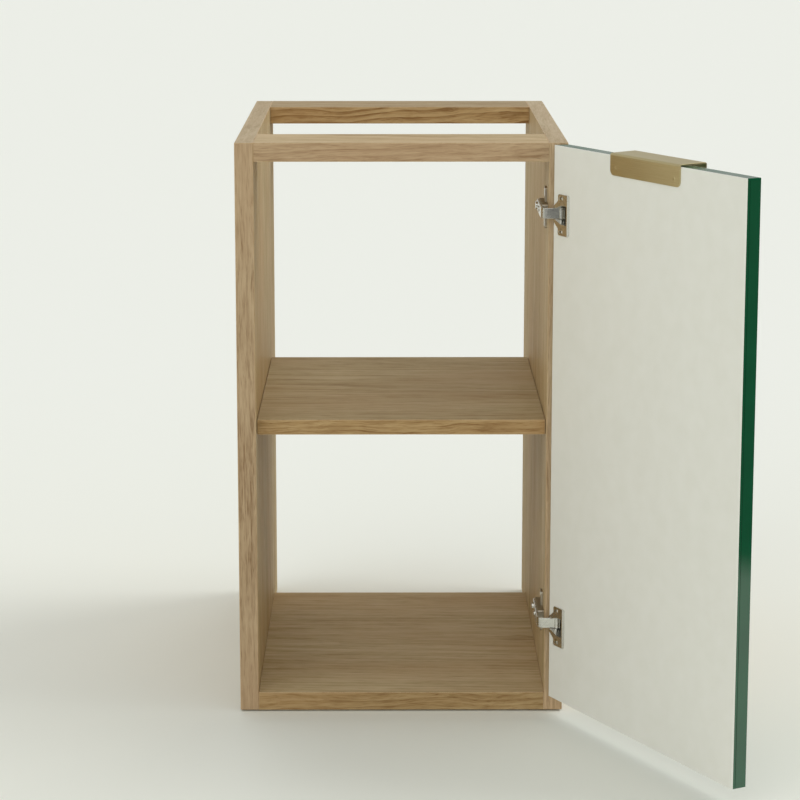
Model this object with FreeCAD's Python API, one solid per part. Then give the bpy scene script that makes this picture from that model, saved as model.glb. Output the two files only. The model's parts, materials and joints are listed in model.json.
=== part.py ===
import FreeCAD, Part
import os

# Bathroom base cabinet: an open-backed carcass with one shelf and one door hung on the right.
# Millimetres, X to the right, Y to the back, Z up from the floor.
# The origin is the middle of the carcass footprint, and the door stands open as it is shown.

# Carcass boards
carcass_width = 300.0
carcass_depth = 430.0
carcass_height = 530.0
board = 17.0
edging = 1.0
front_rail_depth = 80.0
back_rail_depth = 71.0
bottom_service_gap = 78.0

# Shelf
shelf_top = 273.5
shelf_board = 14.0
shelf_setback = 15.0
shelf_service_gap = 94.0
shelf_end_gap = 0.5

# Shelf pins
peg_diameter = 5.0
peg_depth = 9.0
peg_head_diameter = 7.0
peg_head_length = 9.0
peg_flat = 0.6
peg_inset = 40.0
peg_fit = 0.05

# Dowels and cam fittings
dowel_diameter = 8.0
dowel_in_side = 12.0
dowel_in_end = 18.0
dowel_fit = 0.05
cam_diameter = 15.0
cam_height = 12.5
cam_fit = 0.1
cam_setback = 24.0
cam_slot_width = 1.6
cam_slot_depth = 1.5
bolt_thread_diameter = 6.0
bolt_thread_length = 11.0
bolt_shank_diameter = 5.0
bolt_head_diameter = 6.5
bolt_head_length = 3.0
bolt_fit = 0.3
rail_cam_inset = 24.0
rail_dowel_inset = 22.0
bottom_cam_inset = 50.0
bottom_dowel_inset = 90.0

# Door board
door_core = 11.7
door_gloss = 1.5
door_lining_sheet = 0.8
door_edging = 1.5
door_gap = 2.0
door_side_reveal = 2.5
door_top_reveal = 1.0
door_bottom = 16.0
door_open_angle = 118.0
door_groove_width = 0.5
door_groove_depth = 0.4
door_groove_inset = 3.2

# Hinge places
upper_hinge_drop = 62.5
lower_hinge_rise = 86.5
pivot_inset = 3.2
swing_clearance = 0.6

# Hinge arm
arm_thickness = 1.8
arm_height = 9.6
arm_bend = 6.0
arm_back = 62.0
arm_end_round = 4.0
eye_diameter = 5.4
eye_fit = 0.05
hinge_pin_diameter = 3.0
hinge_pin_fit = 0.02

# Hinge cup and its flange
arm_play = 0.4
cup_clearance = 0.5
cup_floor_clearance = 0.3
cup_wall = 0.8
cup_round = 3.0
cup_fit = 0.1
cup_throat = 5.0
cup_flare = 9.0
cup_height = 17.0
flange_thickness = 1.3
flange_height = 37.0
flange_neck = 25.0
flange_waist = 13.6
flange_end_inset = 1.0
flange_shoulder = 9.0
flange_margin = 3.2
flange_round = 2.0
flange_slope_width = 2.4
flange_slope_depth = 0.9
cup_screw_spacing = 30.0
cup_screw_inset = 14.0
cup_screw_diameter = 3.5
cup_screw_head = 6.0
cup_screw_length = 10.0

# Mounting plate
plate_thickness = 5.8
plate_wing_thickness = 2.0
plate_wing_height = 38.0
plate_wing_width = 13.0
plate_wing_line = 37.0
plate_body_height = 11.0
plate_body_front = 15.0
plate_round = 2.0
plate_screw_spacing = 28.0
plate_screw_diameter = 5.0
plate_screw_head = 8.0
plate_screw_length = 15.0

# Screws that hold and adjust the arm on its plate
arm_screw_line = 50.0
arm_screw_diameter = 4.0
arm_screw_head = 7.5
arm_screw_head_height = 2.0
arm_screw_bite = 3.0
arm_screw_slot_width = 1.0
arm_screw_slot_depth = 0.9
adjuster_line = 24.0
adjuster_diameter = 5.0
adjuster_stand = 1.2

# Edge pull
pull_length = 107.0
pull_sheet = 1.2
pull_top_gap = 0.8
pull_drop = 17.2
pull_rise = 0.8
pull_overhang = 12.0
pull_lip = 5.0
pull_bend = 2.0
pull_corner = 5.0
pull_screw_inset = 8.5
pull_screw_drop = 10.5
pull_screw_diameter = 2.2
pull_screw_head = 3.6
pull_screw_length = 8.0

# Room left round a screw in its hole
screw_fit = 0.05

# Places worked out from the sizes above
inner_x = carcass_width / 2 - board
front_y = -carcass_depth / 2
back_y = carcass_depth / 2
upper_hinge_z = carcass_height - upper_hinge_drop
lower_hinge_z = lower_hinge_rise
door_thickness = door_core + door_gloss + door_lining_sheet
door_hinge_x = carcass_width / 2 - door_side_reveal
door_free_x = -door_hinge_x
door_inner_y = front_y - door_gap
door_outer_y = door_inner_y - door_thickness
door_lining_y = door_inner_y - door_lining_sheet
door_core_y = door_lining_y - door_core
door_top = carcass_height - door_top_reveal

# The pin lies just deep enough for the door's outer corner to swing past the carcass front.
swing_room = door_gap - swing_clearance
corner_reach = pivot_inset ** 2 + door_thickness ** 2
pivot_depth = (corner_reach - swing_room ** 2) / (2 * (swing_room + door_thickness))
pivot_x = door_hinge_x - pivot_inset
pivot_y = door_inner_y - pivot_depth

plate_face_x = inner_x - plate_thickness
wing_face_x = inner_x - plate_wing_thickness
arm_face_x = plate_face_x - arm_thickness
arm_back_y = front_y + arm_back
cup_half_height = arm_height / 2 + arm_play
cup_far_x = arm_face_x - cup_clearance
cup_depth = pivot_depth + eye_diameter / 2 + cup_floor_clearance

X_AXIS = FreeCAD.Vector(1, 0, 0)
Y_AXIS = FreeCAD.Vector(0, 1, 0)
Z_AXIS = FreeCAD.Vector(0, 0, 1)


def point(x, y, z):
    return FreeCAD.Vector(x, y, z)


def block(x0, x1, y0, y1, z0, z1):
    """Box between two corners."""
    return Part.makeBox(x1 - x0, y1 - y0, z1 - z0, point(x0, y0, z0))


def rod(diameter, start, direction, length):
    """Round bar from a point along a direction."""
    return Part.makeCylinder(diameter / 2, length, start, direction)


def cut_all(shape, tools):
    """Shape less every tool."""
    for tool in tools:
        shape = shape.cut(tool)
    return shape


def lines_along(shape, axis, keep):
    """Straight edges that lie along an axis and whose middle passes the test."""
    found = []
    for edge in shape.Edges:
        if len(edge.Vertexes) < 2:
            continue
        run = edge.Vertexes[1].Point - edge.Vertexes[0].Point
        straight = edge.Curve.TypeId == "Part::GeomLine"
        if straight and abs(run.normalize().dot(axis)) > 0.999 and keep(edge.CenterOfMass):
            found.append(edge)
    return found


def countersunk_screw(top, direction, diameter, head, length, room=0.0):
    """Flat-headed screw with its head flush at top; room widens it into its own hole."""
    taper = (head - diameter) / 2
    cone = Part.makeCone(head / 2 + room, diameter / 2 + room, taper, top, direction)
    shank = rod(diameter + 2 * room, top + direction * taper, direction, length - taper + room)
    return cone.fuse(shank).removeSplitter()


# Carcass joints

def board_ends():
    """Fixing places at the ends of the cross boards: side sign, height, cam line and dowel line."""
    rail_middle = carcass_height - board / 2
    front_lines = (front_y + rail_cam_inset, front_y + front_rail_depth - rail_dowel_inset)
    back_lines = (back_y - rail_cam_inset, back_y - back_rail_depth + rail_dowel_inset)
    bottom_back = back_y - bottom_service_gap
    ends = []
    for sign in (-1, 1):
        for cam_y, dowel_y in (front_lines, back_lines):
            ends.append((sign, rail_middle, cam_y, dowel_y))
        ends.append((sign, board / 2, front_y + bottom_cam_inset, front_y + bottom_dowel_inset))
        ends.append((sign, board / 2, bottom_back - bottom_cam_inset, bottom_back - bottom_dowel_inset))
    return ends


def dowel(sign, z, y, room=0.0):
    start = point(sign * (inner_x + dowel_in_side + room), y, z)
    return rod(dowel_diameter + 2 * room, start, X_AXIS * -sign, dowel_in_side + dowel_in_end + 2 * room)


def cam_bolt(sign, z, y, room=0.0):
    """Threaded into the side, with its head caught in the cam."""
    joint = point(sign * inner_x, y, z)
    inward = X_AXIS * -sign
    head_start = cam_setback - bolt_head_length / 2
    thread = rod(bolt_thread_diameter, joint - inward * bolt_thread_length, inward, bolt_thread_length)
    shank = rod(bolt_shank_diameter + 2 * room, joint, inward, head_start)
    head = rod(bolt_head_diameter + 2 * room, joint + inward * (head_start - room), inward,
               bolt_head_length + 2 * room)
    return thread.fuse(shank).fuse(head).removeSplitter()


def cam_seat(sign, z, y, room=0.0):
    """Drum let into the underside of a board, centred on the bolt's head."""
    foot = point(sign * (inner_x - cam_setback), y, z - board / 2)
    return rod(cam_diameter + 2 * room, foot, Z_AXIS, cam_height + room)


def cam_disc(sign, z, y):
    """Cam drum with a way in for the bolt and a screwdriver slot below."""
    joint = point(sign * inner_x, y, z)
    reach = cam_setback + bolt_head_length / 2 + bolt_fit
    way_in = rod(bolt_head_diameter + 2 * bolt_fit, joint, X_AXIS * -sign, reach)
    foot = z - board / 2
    centre_x = sign * (inner_x - cam_setback)
    slot = block(centre_x - cam_diameter, centre_x + cam_diameter, y - cam_slot_width / 2,
                 y + cam_slot_width / 2, foot, foot + cam_slot_depth)
    return cut_all(cam_seat(sign, z, y), [way_in, slot])


def joint_holes():
    """Everything drilled for dowels, bolts and cams."""
    holes = []
    for sign, z, cam_y, dowel_y in board_ends():
        holes.append(dowel(sign, z, dowel_y, dowel_fit))
        holes.append(cam_bolt(sign, z, cam_y, bolt_fit))
        holes.append(cam_seat(sign, z, cam_y, cam_fit))
    return holes


def wooden_dowels():
    return Part.makeCompound([dowel(sign, z, dowel_y) for sign, z, cam_y, dowel_y in board_ends()])


def cam_bolts():
    return Part.makeCompound([cam_bolt(sign, z, cam_y) for sign, z, cam_y, dowel_y in board_ends()])


def cam_discs():
    return Part.makeCompound([cam_disc(sign, z, cam_y) for sign, z, cam_y, dowel_y in board_ends()])


# Carcass boards and their front edgings

def left_side_panel():
    panel = block(-carcass_width / 2, -inner_x, front_y + edging, back_y, 0, carcass_height)
    return cut_all(panel, joint_holes() + peg_holes())


def right_side_panel():
    panel = block(inner_x, carcass_width / 2, front_y + edging, back_y, 0, carcass_height)
    return cut_all(panel, joint_holes() + peg_holes() + plate_screw_holes())


def left_side_edging():
    return block(-carcass_width / 2, -inner_x, front_y, front_y + edging, 0, carcass_height)


def right_side_edging():
    return block(inner_x, carcass_width / 2, front_y, front_y + edging, 0, carcass_height)


def bottom_panel():
    panel = block(-inner_x, inner_x, front_y + edging, back_y - bottom_service_gap, 0, board)
    return cut_all(panel, joint_holes())


def bottom_edging():
    return block(-inner_x, inner_x, front_y, front_y + edging, 0, board)


def front_top_rail():
    low = carcass_height - board
    rail = block(-inner_x, inner_x, front_y + edging, front_y + front_rail_depth, low, carcass_height)
    return cut_all(rail, joint_holes())


def front_rail_edging():
    return block(-inner_x, inner_x, front_y, front_y + edging, carcass_height - board, carcass_height)


def back_top_rail():
    front = back_y - back_rail_depth + edging
    rail = block(-inner_x, inner_x, front, back_y, carcass_height - board, carcass_height)
    return cut_all(rail, joint_holes())


def back_rail_edging():
    front = back_y - back_rail_depth
    return block(-inner_x, inner_x, front, front + edging, carcass_height - board, carcass_height)


# Shelf

shelf_half = inner_x - shelf_end_gap
shelf_front = front_y + shelf_setback
shelf_back = back_y - shelf_service_gap
shelf_low = shelf_top - shelf_board


def shelf_panel():
    return block(-shelf_half, shelf_half, shelf_front + edging, shelf_back, shelf_low, shelf_top)


def shelf_edging():
    return block(-shelf_half, shelf_half, shelf_front, shelf_front + edging, shelf_low, shelf_top)


def peg_places():
    """Side sign and line of each shelf pin."""
    lines = (shelf_front + peg_inset, shelf_back - peg_inset)
    return [(sign, y) for sign in (-1, 1) for y in lines]


peg_z = shelf_low - peg_head_diameter / 2 + peg_flat


def peg_holes():
    holes = []
    for sign, y in peg_places():
        start = point(sign * inner_x, y, peg_z)
        holes.append(rod(peg_diameter + 2 * peg_fit, start, X_AXIS * sign, peg_depth + peg_fit))
    return holes


def shelf_pins():
    pins = []
    for sign, y in peg_places():
        wall = point(sign * inner_x, y, peg_z)
        peg = rod(peg_diameter, wall, X_AXIS * sign, peg_depth)
        head = rod(peg_head_diameter, wall, X_AXIS * -sign, peg_head_length)
        far_x = sign * (inner_x - peg_head_length)
        flat = block(min(far_x, sign * inner_x), max(far_x, sign * inner_x), y - peg_head_diameter,
                     y + peg_head_diameter, shelf_low, shelf_top)
        pins.append(peg.fuse(head).removeSplitter().cut(flat))
    return Part.makeCompound(pins)


# Hinge pieces on the carcass

def hinge_heights():
    return (lower_hinge_z, upper_hinge_z)


def plate_screw(z, side, room=0.0):
    top = point(wing_face_x, front_y + plate_wing_line, z + side * plate_screw_spacing / 2)
    return countersunk_screw(top, X_AXIS, plate_screw_diameter, plate_screw_head, plate_screw_length, room)


def plate_screw_holes():
    return [plate_screw(z, side, screw_fit) for z in hinge_heights() for side in (-1, 1)]


def mounting_plate_screws():
    return Part.makeCompound([plate_screw(z, side) for z in hinge_heights() for side in (-1, 1)])


def mounting_plate(z):
    """Raised body on the side's inner face, with a thin wing above and below."""
    wing_y = front_y + plate_wing_line
    wing = block(wing_face_x, inner_x, wing_y - plate_wing_width / 2, wing_y + plate_wing_width / 2,
                 z - plate_wing_height / 2, z + plate_wing_height / 2)
    wing = wing.makeFillet(plate_round, lines_along(wing, X_AXIS, lambda middle: True))
    body = block(plate_face_x, inner_x, front_y + plate_body_front, arm_back_y,
                 z - plate_body_height / 2, z + plate_body_height / 2)
    body = body.makeFillet(plate_round, lines_along(body, X_AXIS, lambda middle: True))
    screws = [plate_screw(z, side, screw_fit) for side in (-1, 1)]
    return cut_all(wing.fuse(body).removeSplitter(), screws + [arm_screw(z, screw_fit)])


def arm_screw(z, room=0.0):
    """Round-headed screw that clamps the arm to its plate."""
    seat = point(arm_face_x, front_y + arm_screw_line, z)
    shank = rod(arm_screw_diameter + 2 * room, seat, X_AXIS, arm_thickness + arm_screw_bite + room)
    head = rod(arm_screw_head + 2 * room, seat, X_AXIS * -1, arm_screw_head_height)
    return head.fuse(shank).removeSplitter()


def driver_slot(outer_x, y, z, across):
    """Screwdriver slot in a screw whose face looks into the cabinet."""
    return block(outer_x, outer_x + arm_screw_slot_depth, y - arm_screw_slot_width / 2,
                 y + arm_screw_slot_width / 2, z - across, z + across)


def arm_fixing_screws():
    screws = []
    for z in hinge_heights():
        slot = driver_slot(arm_face_x - arm_screw_head_height, front_y + arm_screw_line, z, arm_screw_head)
        screws.append(arm_screw(z).cut(slot))
    return Part.makeCompound(screws)


def adjuster(z, room=0.0):
    """Headless screw through the arm that bears on the plate."""
    start = point(arm_face_x - adjuster_stand, front_y + adjuster_line, z)
    return rod(adjuster_diameter + 2 * room, start, X_AXIS, adjuster_stand + arm_thickness)


def arm_adjusting_screws():
    screws = []
    for z in hinge_heights():
        slot = driver_slot(arm_face_x - adjuster_stand, front_y + adjuster_line, z, adjuster_diameter)
        screws.append(adjuster(z).cut(slot))
    return Part.makeCompound(screws)


def hinge_arm(z):
    """Bent strap that runs forward from its plate and round the side's edge to an eye on the pin."""
    half = arm_thickness / 2
    inner_bend = arm_bend - half
    outer_bend = arm_bend + half
    low = z - arm_height / 2
    centre = point(plate_face_x + inner_bend, pivot_y + half + inner_bend, low)
    slant = FreeCAD.Vector(-1, -1, 0).normalize()
    back_right = point(plate_face_x, arm_back_y, low)
    bend_in = point(plate_face_x, centre.y, low)
    bend_out = point(centre.x, pivot_y + half, low)
    tip_back = point(pivot_x, pivot_y + half, low)
    tip_front = point(pivot_x, pivot_y - half, low)
    far_out = point(centre.x, pivot_y - half, low)
    far_in = point(arm_face_x, centre.y, low)
    back_left = point(arm_face_x, arm_back_y, low)
    edges = [
        Part.makeLine(back_right, bend_in),
        Part.Arc(bend_in, centre + slant * inner_bend, bend_out).toShape(),
        Part.makeLine(bend_out, tip_back),
        Part.makeLine(tip_back, tip_front),
        Part.makeLine(tip_front, far_out),
        Part.Arc(far_out, centre + slant * outer_bend, far_in).toShape(),
        Part.makeLine(far_in, back_left),
        Part.makeLine(back_left, back_right),
    ]
    strap = Part.Face(Part.Wire(edges)).extrude(Z_AXIS * arm_height)
    at_back = lines_along(strap, X_AXIS, lambda middle: middle.y > arm_back_y - half)
    strap = strap.makeFillet(arm_end_round, at_back)
    pivot = point(pivot_x, pivot_y, low)
    eye = rod(eye_diameter, pivot, Z_AXIS, arm_height)
    bore = rod(hinge_pin_diameter + 2 * eye_fit, pivot, Z_AXIS, arm_height)
    arm = strap.fuse(eye).removeSplitter()
    return cut_all(arm, [bore, arm_screw(z, screw_fit), adjuster(z, screw_fit)])


# Door, drawn shut and then swung open about the hinge pins

def swing_open(shape):
    shape.rotate(point(pivot_x, pivot_y, 0), Z_AXIS, door_open_angle)
    return shape


def even_plate(upper, z, y0, y1):
    """Plate whose outline is given above a height and is the same below it."""
    lower = [(x, -rise) for x, rise in reversed(upper)]
    corners = [point(x, y0, z + rise) for x, rise in upper + lower]
    return Part.Face(Part.makePolygon(corners + corners[:1])).extrude(Y_AXIS * (y1 - y0))


def cup_form(z, spread, end_x, y0, y1):
    """Outline of a hinge cup, which widens behind a throat at the door's hinge edge."""
    throat_x = door_hinge_x - cup_throat
    near = cup_half_height + spread
    wide = cup_height / 2 + spread
    upper = [(end_x, near), (throat_x, near), (throat_x - cup_flare, wide), (cup_far_x - spread, wide)]
    return even_plate(upper, z, y0, y1)


def cup_shell(z, room=0.0):
    """Outer form of a hinge cup, open towards the door's hinge edge."""
    floor_y = door_inner_y - cup_depth - cup_wall - room
    shell = cup_form(z, cup_wall + room, door_hinge_x + room, floor_y, door_inner_y)
    at_far_end = lines_along(shell, Y_AXIS, lambda middle: middle.x < cup_far_x)
    return shell.makeFillet(cup_round, at_far_end)


def flange_slope(z, far_x):
    """Wedge cut away along the far edge of a flange, which then falls towards the door."""
    high = door_inner_y + flange_thickness
    low = z - flange_height / 2
    corners = [point(far_x, high, low), point(far_x + flange_slope_width, high, low),
               point(far_x, high - flange_slope_depth, low)]
    return Part.Face(Part.makePolygon(corners + corners[:1])).extrude(Z_AXIS * flange_height)


def cup_flange(z):
    """Upright bar over the cup with a neck that narrows towards the door's hinge edge."""
    end_x = door_hinge_x - flange_end_inset
    shoulder_x = door_hinge_x - flange_shoulder
    far_x = cup_far_x - cup_wall - flange_margin
    upper = [(end_x, flange_waist / 2), (shoulder_x, flange_neck / 2), (shoulder_x, flange_height / 2),
             (far_x, flange_height / 2)]
    plate = even_plate(upper, z, door_inner_y, door_inner_y + flange_thickness)
    tips = flange_height / 2 - flange_round / 2
    corners = lines_along(plate, Y_AXIS, lambda middle: abs(middle.z - z) > tips)
    return plate.makeFillet(flange_round, corners).cut(flange_slope(z, far_x))


def cup_screw(z, side, room=0.0):
    screw_x = door_hinge_x - cup_screw_inset
    top = point(screw_x, door_inner_y + flange_thickness, z + side * cup_screw_spacing / 2)
    return countersunk_screw(top, Y_AXIS * -1, cup_screw_diameter, cup_screw_head, cup_screw_length, room)


def hinge_pin(z, room=0.0):
    reach = cup_half_height + cup_wall
    foot = point(pivot_x, pivot_y, z - reach)
    return swing_open(rod(hinge_pin_diameter + 2 * room, foot, Z_AXIS, 2 * reach))


def hinge_cup(z):
    """Cup, its flange and the two cheeks that carry the pin."""
    cavity = cup_form(z, 0, door_hinge_x, door_inner_y - cup_depth, door_inner_y + flange_thickness)
    body = cup_shell(z).fuse(cup_flange(z)).removeSplitter().cut(cavity)
    screws = [cup_screw(z, side, screw_fit) for side in (-1, 1)]
    return swing_open(cut_all(body, screws)).cut(hinge_pin(z, hinge_pin_fit))


def hinge_cup_screws():
    screws = [cup_screw(z, side) for z in hinge_heights() for side in (-1, 1)]
    return swing_open(Part.makeCompound(screws))


def hinge_pockets():
    """Recesses in the door for the cups and their screws."""
    pockets = []
    for z in hinge_heights():
        pockets.append(cup_shell(z, cup_fit))
        for side in (-1, 1):
            pockets.append(cup_screw(z, side, screw_fit))
    return pockets


def door_lining():
    """Thin sheet over the whole inner face, out to the door's edges."""
    sheet = block(door_free_x, door_hinge_x, door_lining_y, door_inner_y, door_bottom, door_top)
    return swing_open(cut_all(sheet, hinge_pockets() + pull_screw_holes()))


def door_panel():
    panel = block(door_free_x + door_edging, door_hinge_x - door_edging, door_core_y, door_lining_y,
                  door_bottom + door_edging, door_top - door_edging)
    return swing_open(cut_all(panel, hinge_pockets() + pull_screw_holes()))


def door_gloss_face():
    return swing_open(block(door_free_x + door_edging, door_hinge_x - door_edging, door_outer_y, door_core_y,
                            door_bottom + door_edging, door_top - door_edging))


def door_top_edging():
    return swing_open(block(door_free_x, door_hinge_x, door_outer_y, door_lining_y,
                            door_top - door_edging, door_top))


def door_bottom_edging():
    return swing_open(block(door_free_x, door_hinge_x, door_outer_y, door_lining_y,
                            door_bottom, door_bottom + door_edging))


def door_free_edging():
    """Strip on the free edge, with a fine line along it."""
    strip = block(door_free_x, door_free_x + door_edging, door_outer_y, door_lining_y,
                  door_bottom + door_edging, door_top - door_edging)
    line_y = door_inner_y - door_groove_inset
    line = block(door_free_x, door_free_x + door_groove_depth, line_y - door_groove_width / 2,
                 line_y + door_groove_width / 2, door_bottom, door_top)
    return swing_open(strip.cut(line))


def door_hinge_edging():
    """Strip on the hinge edge, notched where the cups come through."""
    strip = block(door_hinge_x - door_edging, door_hinge_x, door_outer_y, door_lining_y,
                  door_bottom + door_edging, door_top - door_edging)
    return swing_open(cut_all(strip, hinge_pockets()))


# Edge pull

def pull_screw(side, room=0.0):
    x = (door_free_x + door_hinge_x) / 2 + side * (pull_length / 2 - pull_screw_inset)
    top = point(x, door_inner_y + pull_sheet, door_top - pull_screw_drop)
    return countersunk_screw(top, Y_AXIS * -1, pull_screw_diameter, pull_screw_head, pull_screw_length, room)


def pull_screw_holes():
    return [pull_screw(side, screw_fit) for side in (-1, 1)]


def edge_pull_screws():
    return swing_open(Part.makeCompound([pull_screw(side) for side in (-1, 1)]))


def edge_pull():
    """Bent sheet: a plate on the door's inner face, a top that rises over the edge and a lip in front."""
    left = (door_free_x + door_hinge_x - pull_length) / 2
    foot = door_top - pull_drop
    under = door_top + pull_top_gap
    over = under + pull_sheet
    plate_y = door_inner_y + pull_sheet
    lip_y = door_outer_y - pull_overhang
    lip_back_y = lip_y + pull_sheet
    slope = pull_rise / (plate_y - lip_y)
    outer_bends = [(plate_y, over), (lip_y, over + pull_rise)]
    inner_bends = [(lip_back_y, under + slope * (door_inner_y - lip_back_y)), (door_inner_y, under)]
    lip_end = over + pull_rise - pull_lip
    outline = [(plate_y, foot)] + outer_bends + [(lip_y, lip_end), (lip_back_y, lip_end)] + inner_bends
    outline.append((door_inner_y, foot))
    section = [point(left, y, z) for y, z in outline]
    pull = Part.Face(Part.makePolygon(section + section[:1])).extrude(X_AXIS * pull_length)
    for bends, radius in ((outer_bends, pull_bend), (inner_bends, pull_bend - pull_sheet)):
        for y, z in bends:
            line = point(left + pull_length / 2, y, z)
            edges = lines_along(pull, X_AXIS, lambda middle: (middle - line).Length < pull_sheet / 4)
            pull = pull.makeFillet(radius, edges)
    corners = lines_along(pull, Y_AXIS, lambda middle: middle.z < foot + pull_sheet)
    pull = pull.makeFillet(pull_corner, corners)
    return swing_open(cut_all(pull, pull_screw_holes()))


def build():
    """Every piece by its name."""
    return {
        "left_side_panel": left_side_panel(),
        "right_side_panel": right_side_panel(),
        "bottom_panel": bottom_panel(),
        "front_top_rail": front_top_rail(),
        "back_top_rail": back_top_rail(),
        "shelf_panel": shelf_panel(),
        "left_side_edging": left_side_edging(),
        "right_side_edging": right_side_edging(),
        "bottom_edging": bottom_edging(),
        "front_rail_edging": front_rail_edging(),
        "back_rail_edging": back_rail_edging(),
        "shelf_edging": shelf_edging(),
        "wooden_dowels": wooden_dowels(),
        "cam_bolts": cam_bolts(),
        "cam_discs": cam_discs(),
        "shelf_pins": shelf_pins(),
        "upper_mounting_plate": mounting_plate(upper_hinge_z),
        "lower_mounting_plate": mounting_plate(lower_hinge_z),
        "mounting_plate_screws": mounting_plate_screws(),
        "upper_hinge_arm": hinge_arm(upper_hinge_z),
        "lower_hinge_arm": hinge_arm(lower_hinge_z),
        "arm_fixing_screws": arm_fixing_screws(),
        "arm_adjusting_screws": arm_adjusting_screws(),
        "door_panel": door_panel(),
        "door_lining": door_lining(),
        "door_gloss_face": door_gloss_face(),
        "door_top_edging": door_top_edging(),
        "door_bottom_edging": door_bottom_edging(),
        "door_free_edging": door_free_edging(),
        "door_hinge_edging": door_hinge_edging(),
        "upper_hinge_cup": hinge_cup(upper_hinge_z),
        "lower_hinge_cup": hinge_cup(lower_hinge_z),
        "hinge_cup_screws": hinge_cup_screws(),
        "upper_hinge_pin": hinge_pin(upper_hinge_z),
        "lower_hinge_pin": hinge_pin(lower_hinge_z),
        "edge_pull": edge_pull(),
        "edge_pull_screws": edge_pull_screws(),
    }


os.makedirs("parts", exist_ok=True)
for name, shape in build().items():
    shape.exportStep("parts/" + name + ".step")
print("pivot", round(pivot_x, 3), round(pivot_y, 3), "depth", round(pivot_depth, 3))
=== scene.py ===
import json
import logging
import math
from collections.abc import Callable, Iterable, Sequence
from dataclasses import dataclass
from enum import Enum, IntEnum
from typing import ClassVar

import bmesh
import bpy
from bmesh.types import BMEdge, BMesh, BMFace, BMVert
from mathutils import Matrix, Vector


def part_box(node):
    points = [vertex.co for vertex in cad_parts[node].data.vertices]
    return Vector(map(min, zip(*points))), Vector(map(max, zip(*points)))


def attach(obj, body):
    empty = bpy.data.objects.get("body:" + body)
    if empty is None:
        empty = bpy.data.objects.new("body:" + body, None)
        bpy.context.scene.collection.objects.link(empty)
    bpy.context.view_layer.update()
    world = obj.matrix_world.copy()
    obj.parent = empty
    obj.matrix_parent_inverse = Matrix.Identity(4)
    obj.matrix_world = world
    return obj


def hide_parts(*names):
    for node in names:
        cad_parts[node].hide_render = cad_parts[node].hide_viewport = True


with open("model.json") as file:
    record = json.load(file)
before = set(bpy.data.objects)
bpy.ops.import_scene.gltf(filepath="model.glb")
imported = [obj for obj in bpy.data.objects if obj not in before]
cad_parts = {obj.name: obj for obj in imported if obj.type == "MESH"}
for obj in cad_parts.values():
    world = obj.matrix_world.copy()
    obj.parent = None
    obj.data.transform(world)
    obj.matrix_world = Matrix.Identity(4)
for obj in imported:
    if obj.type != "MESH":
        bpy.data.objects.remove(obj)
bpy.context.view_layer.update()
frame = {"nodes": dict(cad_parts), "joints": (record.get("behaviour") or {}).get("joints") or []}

LOG = logging.getLogger("bathroom_cabinet")

Colour = tuple[float, float, float, float]
Place = tuple[float, float, float]

MM = 0.001
SAME_POINT = 0.001 * MM
ON_PLANE = 0.02 * MM
SHARP = math.radians(50)
FLAT = math.radians(0.5)
ALONG_AXIS = 0.9  # least part of a normal along the axis that its face looks along

BEND_FACETS = 10
BAR_FACETS = 32
EYE_FACETS = 36


def tint(red: int, green: int, blue: int) -> Colour:
    """Linear colour from the 0 to 255 values of a colour card.

    Args:
        red: Red value of the card.
        green: Green value of the card.
        blue: Blue value of the card.

    Returns:
        The linear colour with full alpha.
    """
    def linear(value: int) -> float:
        """One channel without its gamma."""
        share = value / 255
        return share / 12.92 if share <= 0.04045 else ((share + 0.055) / 1.055) ** 2.4

    return (linear(red), linear(green), linear(blue), 1.0)


class Grain(Enum):
    """Direction that the grain of a wooden surface runs in."""

    ACROSS = "X"
    ALONG_DEPTH = "Y"
    UPRIGHT = "Z"

    def turn(self) -> Matrix:
        """Rotation that lays this direction along the pattern's first axis.

        Returns:
            The rotation.
        """
        if self is Grain.ALONG_DEPTH:
            return Matrix.Rotation(math.radians(-90), 3, "Z")
        if self is Grain.UPRIGHT:
            return Matrix.Rotation(math.radians(90), 3, "Y")
        return Matrix.Identity(3)


class Drive(Enum):
    """Recess in a screw's head."""

    CROSS = "cross"
    SLOT = "slot"


# Surface patterns

# Sockets of a colour mix
MIX_SHARE, MIX_FIRST, MIX_SECOND, MIX_RESULT = 0, 6, 7, 2
# Step between the rings of a wave texture at scale 1
RING_STEP = math.tau / 20


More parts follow.
